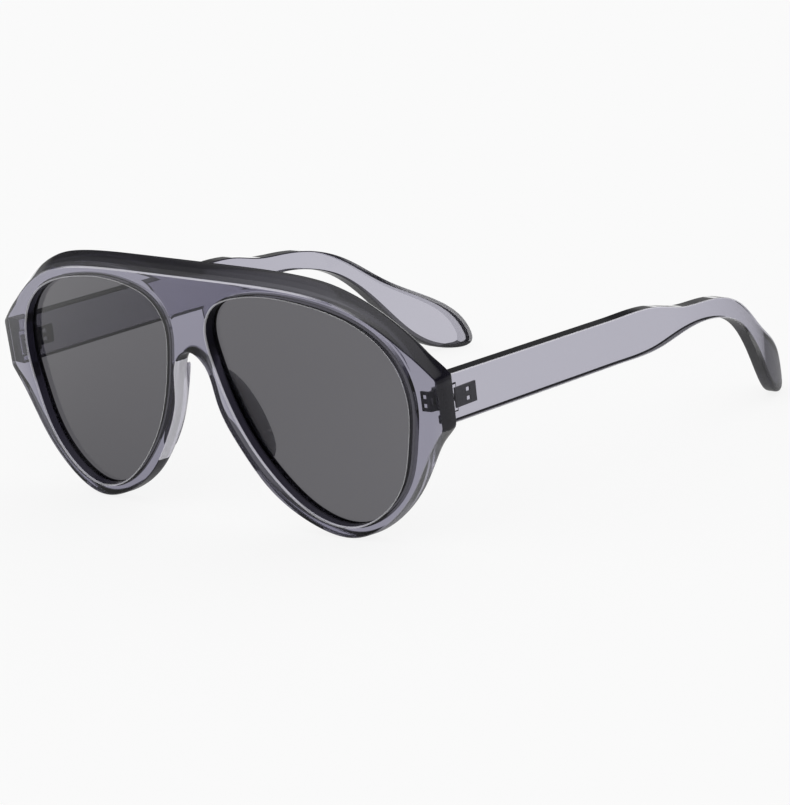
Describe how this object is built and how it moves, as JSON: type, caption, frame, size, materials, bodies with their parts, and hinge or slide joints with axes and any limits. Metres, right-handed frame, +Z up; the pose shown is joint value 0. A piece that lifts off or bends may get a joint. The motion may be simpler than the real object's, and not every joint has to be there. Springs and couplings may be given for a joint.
{
  "type": "oversized sunglasses",
  "caption": "Oversized wrapped sunglasses in clear grey plastic with smoked lenses, moulded nose pads and temples that fold on steel hinges.",
  "frame": {"origin": "on the floor, under the middle of the glasses' box, as they stand open on their lower rims and temple tips", "axes": "+Z up, -Y the way the lenses face, +Y along the temples to the tips, +X to the wearer's left"},
  "size_m": [0.1492, 0.1492, 0.0641],
  "materials": {
    "front_plastic": "polished clear grey moulded plastic",
    "temple_plastic": "polished clear grey moulded plastic",
    "lens_tint": "polished smoked grey",
    "pad_plastic": "soft gloss, clear",
    "hinge_steel": "satin",
    "screw_steel": "bright turned"
  },
  "bodies": {
    "front": {"front_frame": "front_plastic", "left_lens": "lens_tint", "left_nose_pad": "pad_plastic", "left_front_hinge_leaf": "hinge_steel", "left_hinge_screw": "screw_steel", "right_lens": "lens_tint", "right_nose_pad": "pad_plastic", "right_front_hinge_leaf": "hinge_steel", "right_hinge_screw": "screw_steel"},
    "left_temple_arm": {"left_temple_hinge_leaf": "hinge_steel", "left_temple": "temple_plastic"},
    "right_temple_arm": {"right_temple_hinge_leaf": "hinge_steel", "right_temple": "temple_plastic"}
  },
  "joints": [
    {"name": "left_fold", "type": "hinge", "parent": "front", "child": "left_temple_arm", "pos_m": [0.06925, -0.06056, 0.03528], "axis": [0, 0, 1], "range_deg": [0, 82]},
    {"name": "right_fold", "type": "hinge", "parent": "front", "child": "right_temple_arm", "pos_m": [-0.06925, -0.06056, 0.03528], "axis": [0, 0, -1], "range_deg": [0, 64]}
  ]
}
